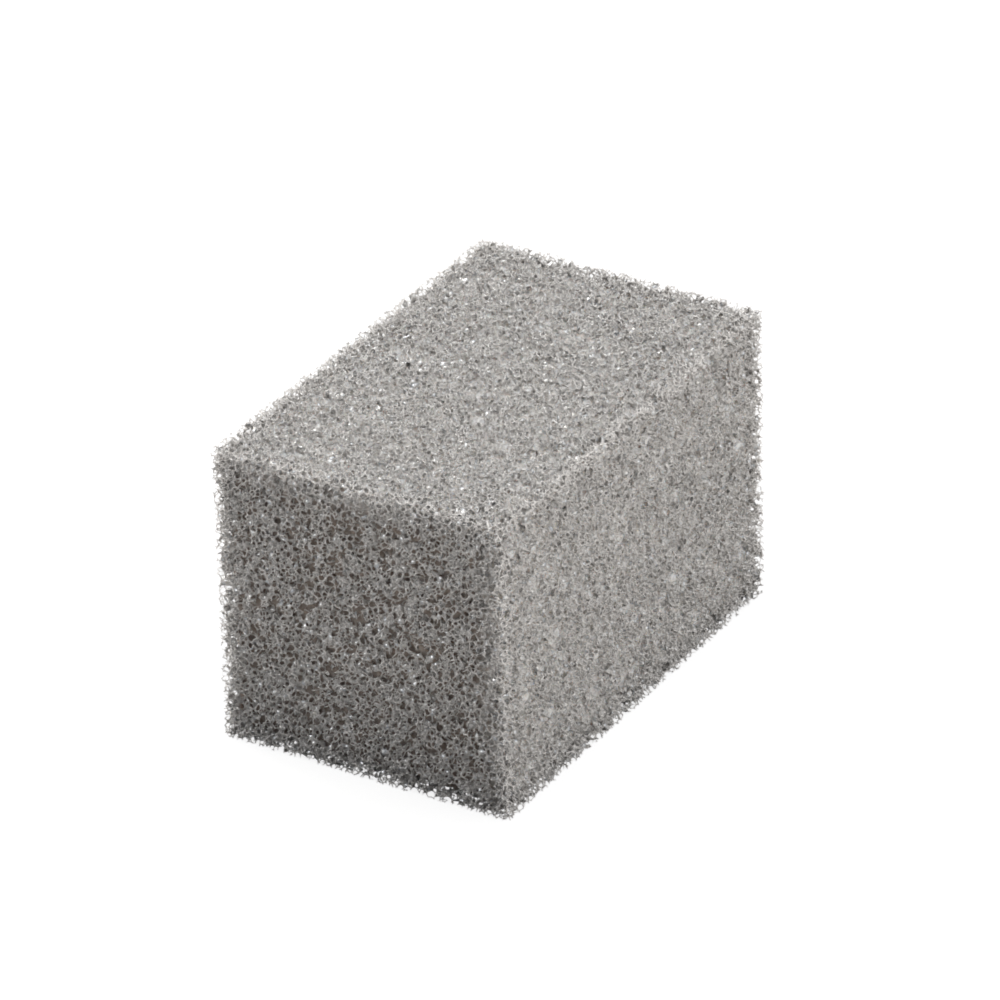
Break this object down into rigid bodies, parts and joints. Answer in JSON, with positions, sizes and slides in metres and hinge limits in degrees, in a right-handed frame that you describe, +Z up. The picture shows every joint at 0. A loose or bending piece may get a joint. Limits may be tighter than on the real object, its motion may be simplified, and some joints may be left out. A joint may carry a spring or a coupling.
{
  "type": "filter sponge",
  "caption": "Rectangular block of coarse grey open-cell foam that strains debris out of aquarium or pond water drawn through it.",
  "frame": {"origin": "middle of the bottom face, on the plane that the block stands on", "axes": "+Z up, from the bottom face to the top face; +Y along the block's longest side, from end to end; +X across it, from side to side"},
  "size_m": [0.05, 0.077, 0.05],
  "materials": {
    "open_cell_foam": "matte grey open-cell polyurethane foam, with a fine net of slightly glossy strands and dark pits between them"
  },
  "bodies": {
    "root": {"foam_block": "open_cell_foam"}
  },
  "joints": []
}
